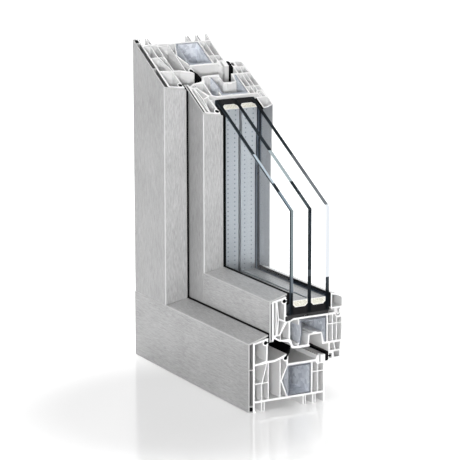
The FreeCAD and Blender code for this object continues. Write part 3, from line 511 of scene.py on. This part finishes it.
spacerBar = {
    "metal": (0.36, 0.385, 0.41, 1.0),
    "level": (0.38, 0.385, 0.39, 1.0),  # top of the bar's bottom run, a painted reflection
    "cut": (0.86, 0.86, 0.84, 1.0),
    "flank": {"outer": (0.06, 0.065, 0.07, 1.0), "inner": (0.80, 0.83, 0.86, 1.0)},  # side against a pane: painted shade on the outer bar, painted light on the inner one
    "hole": (0.20, 0.215, 0.24, 1.0),
    "pitch": 0.0046,  # metres between two holes of a row
    "rowDistance": 0.0038,  # metres from the middle of the bar to a row
    "holeRadius": 0.0008,
}


# The holes repeat along the bar, so the run along it is folded into one pitch round the nearest hole
def makeSpacer(name):
    values = spacerBar
    low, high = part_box(f"spacer_{name}")
    finish, tree, shader = newFinish(f"spacerMetal_{name}", Metallic=0.75, Roughness=0.42)
    coords = addNode(tree, "ShaderNodeTexCoord", (-1300, 0))
    place = addNode(tree, "ShaderNodeSeparateXYZ", (-1100, 100))
    feed(tree, place.inputs[0], coords.outputs["Object"])
    run = calculate(tree, "ADD", place.outputs["X"], place.outputs["Z"], (-900, 100))
    along = calculate(tree, "PINGPONG", run, values["pitch"] / 2, (-700, 100))
    depth = calculate(tree, "SUBTRACT", place.outputs["Y"], (low[1] + high[1]) / 2, (-900, 300))
    depth = calculate(tree, "ABSOLUTE", depth, 0.0, (-700, 300))
    across = calculate(tree, "SUBTRACT", depth, values["rowDistance"], (-500, 300))
    flat = addNode(tree, "ShaderNodeCombineXYZ", (-300, 200))
    feed(tree, flat.inputs[0], along)
    feed(tree, flat.inputs[1], across)
    distance = addNode(tree, "ShaderNodeVectorMath", (-100, 200), operation="LENGTH")
    feed(tree, distance.inputs[0], flat.outputs[0])
    hole = calculate(tree, "LESS_THAN", distance.outputs["Value"], values["holeRadius"], (100, 200))
    saw = useGroup(tree, sawGroup, (-300, -300), Facing=sawNormal["side"])
    squareEnd = calculate(tree, "GREATER_THAN", place.outputs["X"], cadBox[1][0] - 0.0002, (-300, -500))
    cut = calculate(tree, "MAXIMUM", saw["Mask"], squareEnd, (0, -300))
    facing = addNode(tree, "ShaderNodeSeparateXYZ", (-300, 500))
    feed(tree, facing.inputs[0], coords.outputs["Normal"])
    sideways = calculate(tree, "ABSOLUTE", facing.outputs["Y"], 0.0, (-100, 500))
    flank = calculate(tree, "GREATER_THAN", sideways, 0.9, (100, 500))
    level = calculate(tree, "GREATER_THAN", facing.outputs["Z"], 0.9, (100, 700))
    sheet = blendColour(tree, level, values["metal"], values["level"], (200, 500))
    sheet = blendColour(tree, hole, sheet, values["hole"], (300, 200))
    sheet = blendColour(tree, flank, sheet, values["flank"][name], (400, 400))
    feed(tree, shader.inputs["Base Color"], blendColour(tree, cut, sheet, values["cut"], (500, 200)))
    dress(finish, f"spacer_{name}")


desiccantGrain = {
    "cream": (0.52, 0.51, 0.42, 1.0),
    "pale": (0.82, 0.81, 0.74, 1.0),
    "grains": 1400.0,
    "pieces": ("desiccant_outer", "desiccant_inner"),
}


def makeDesiccant():
    values = desiccantGrain
    finish, tree, shader = newFinish("desiccantGrain", Roughness=0.85)
    speckle = useGroup(tree, speckleGroup, (-500, 0), Cells=values["grains"])
    tone = blendColour(tree, speckle["Value"], values["cream"], values["pale"], (0, 0))
    feed(tree, shader.inputs["Base Color"], tone)
    roughen(tree, shader, calculate(tree, "SUBTRACT", 1.0, speckle["Edge"], (0, -200)), 0.0002, 0.6)
    dress(finish, *values["pieces"])


darkParts = {
    "edgeSeal": {
        "colour": (0.006, 0.006, 0.007, 1.0),
        "side": (0.10, 0.112, 0.125, 1.0),  # against the panes, seen through them: painted light
        "gloss": 0.7,
        "pieces": ("edge_seal_outer", "edge_seal_inner"),
    },
    "packerPlastic": {
        "colour": (0.034, 0.034, 0.035, 1.0),
        "side": (0.034, 0.034, 0.035, 1.0),
        "gloss": 0.5,
        "pieces": ("glazing_packer_bottom", "glazing_packer_side"),
    },
}


def makeDark(name, colour, side, gloss, pieces):
    finish, tree, shader = newFinish(name, Roughness=gloss)
    shader.inputs["Specular IOR Level"].default_value = 0.15
    grain = useGroup(tree, grainGroup, (-300, 0), Stretch=(250.0, 250.0, 250.0), Depth=0.5)
    coords = addNode(tree, "ShaderNodeTexCoord", (-900, 300))
    facing = addNode(tree, "ShaderNodeSeparateXYZ", (-700, 300))
    feed(tree, facing.inputs[0], coords.outputs["Normal"])
    sideways = calculate(tree, "ABSOLUTE", facing.outputs["Y"], 0.0, (-500, 300))
    flank = calculate(tree, "GREATER_THAN", sideways, 0.9, (-300, 300))
    tone = blendColour(tree, flank, colour, side, (-100, 300))
    tone = blendColour(tree, 1.0, tone, grain["Shade"], (100, 0), "MULTIPLY")
    feed(tree, shader.inputs["Base Color"], tone)
    roughen(tree, shader, grain["Stroke"], 0.00005, 0.5)
    dress(finish, *pieces)


for name in ("pane_outer", "pane_middle", "pane_inner"):
    makePane(name)
for name in ("outer", "inner"):
    makeSpacer(name)
makeDesiccant()
for name, values in darkParts.items():
    makeDark(name, values["colour"], values["side"], values["gloss"], values["pieces"])
print("stage: glazing finished")


studio = {
    "floor": (0.77, 0.77, 0.77, 1.0),
    "floorReach": 6.0,  # metres from the middle to each side
    "liftNear": 0.215,  # white added only for what sees the floor, so that its shadows stay; less of it near the object paints shade round it
    "liftFar": 0.80,
    "liftMiddle": (0.08, -0.10, 0.0),
    "liftStart": 0.10,  # metres from there
    "liftEnd": 0.30,
    "worldLevel": 0.28,
    "cameraPlace": (1.9843, -1.1097, 0.6654),
    "cameraTurn": (77.224, 0.098, 60.899),
    "lens": 184.15,
    "sensor": 36.0,
}
# Area lamps. One with mirrored off isn't seen in shiny faces.
lamps = [
    {"name": "softFront", "place": (0.3, -1.9, 0.8), "size": (1.4, 1.2), "watts": 8.0},
    {
        "name": "softRight",
        "place": (1.85, -1.15, 0.2),
        "size": (0.8, 0.8),
        "watts": 3.6,
        "mirrored": False,
        "spread": 40.0,
        "target": (0.0, 0.0, 0.04),
    },
    {"name": "softAbove", "place": (0.1, -0.4, 1.8), "size": (1.2, 1.2), "watts": 9.0},
    {
        "name": "softBack",
        "place": (-0.8, 1.9, 0.9),
        "size": (1.4, 1.2),
        "watts": 26.0,
        "mirrored": False,
    },
]


def seenDirectly(tree):  # one for what the camera, a mirror or a pane shows, zero for light on surfaces
    path = addNode(tree, "ShaderNodeLightPath", (-300, 400))
    seen = calculate(tree, "ADD", path.outputs["Is Camera Ray"], path.outputs["Is Glossy Ray"], (-100, 400))
    return calculate(tree, "ADD", seen, path.outputs["Is Transmission Ray"], (100, 400), clamp=True)


def makeFloor():
    reach = studio["floorReach"]
    corners = [(-reach, -reach, 0.0), (reach, -reach, 0.0), (reach, reach, 0.0), (-reach, reach, 0.0)]
    mesh = bpy.data.meshes.new("studioFloor")
    mesh.from_pydata(corners, [], [(0, 1, 2, 3)])
    floor = bpy.data.objects.new("studioFloor", mesh)
    scene.collection.objects.link(floor)
    finish, tree, shader = newFinish("paleFloor", Roughness=0.11)
    shader.inputs["Base Color"].default_value = studio["floor"]
    shader.inputs["Specular IOR Level"].default_value = 1.0
    coords = addNode(tree, "ShaderNodeTexCoord", (-700, 700))
    distance = addNode(tree, "ShaderNodeVectorMath", (-500, 700), operation="DISTANCE")
    feed(tree, distance.inputs[0], coords.outputs["Object"])
    feed(tree, distance.inputs[1], studio["liftMiddle"])
    far = rampBetween(tree, distance.outputs["Value"], studio["liftStart"], studio["liftEnd"], (-300, 700))
    rise = studio["liftFar"] - studio["liftNear"]
    lift = calculate(tree, "MULTIPLY_ADD", far, rise, (-100, 700), studio["liftNear"])
    glow = addNode(tree, "ShaderNodeEmission", (500, 300))
    feed(tree, glow.inputs["Strength"], calculate(tree, "MULTIPLY", seenDirectly(tree), lift, (300, 500)))
    add = addNode(tree, "ShaderNodeAddShader", (700, 0))
    feed(tree, add.inputs[0], shader.outputs[0])
    feed(tree, add.inputs[1], glow.outputs[0])
    feed(tree, tree.nodes["Material Output"].inputs["Surface"], add.outputs[0])
    mesh.materials.append(finish)


def makeWorld():
    world = bpy.data.worlds.new("paleStudio")
    scene.world = world
    world.use_nodes = True
    tree = world.node_tree
    sky = tree.nodes["Background"]
    sky.inputs["Color"].default_value = (1.0, 1.0, 1.0, 1.0)
    rest = 1.0 - studio["worldLevel"]
    level = calculate(tree, "MULTIPLY_ADD", seenDirectly(tree), rest, (300, 400), studio["worldLevel"])
    feed(tree, sky.inputs["Strength"], level)


def makeLamp(name, place, size, watts, mirrored=True, spread=180.0, target=(0.0, 0.0, 0.14)):
    lamp = bpy.data.lights.new(name, "AREA")
    lamp.shape = "RECTANGLE"
    lamp.size, lamp.size_y = size
    lamp.energy = watts
    lamp.spread = math.radians(spread)
    stand = bpy.data.objects.new(name, lamp)
    stand.location = place
    stand.rotation_euler = (Vector(target) - Vector(place)).to_track_quat("-Z", "Y").to_euler()
    stand.visible_glossy = mirrored
    scene.collection.objects.link(stand)


def makeCamera():
    camera = bpy.data.cameras.new("photoCamera")
    camera.lens = studio["lens"]
    camera.sensor_width = studio["sensor"]
    stand = bpy.data.objects.new("photoCamera", camera)
    stand.location = studio["cameraPlace"]
    stand.rotation_euler = [math.radians(turn) for turn in studio["cameraTurn"]]
    scene.collection.objects.link(stand)
    scene.camera = stand


makeFloor()
makeWorld()
for lamp in lamps:
    makeLamp(**lamp)
makeCamera()
scene.view_settings.view_transform = "Standard"
print("stage: studio ready")
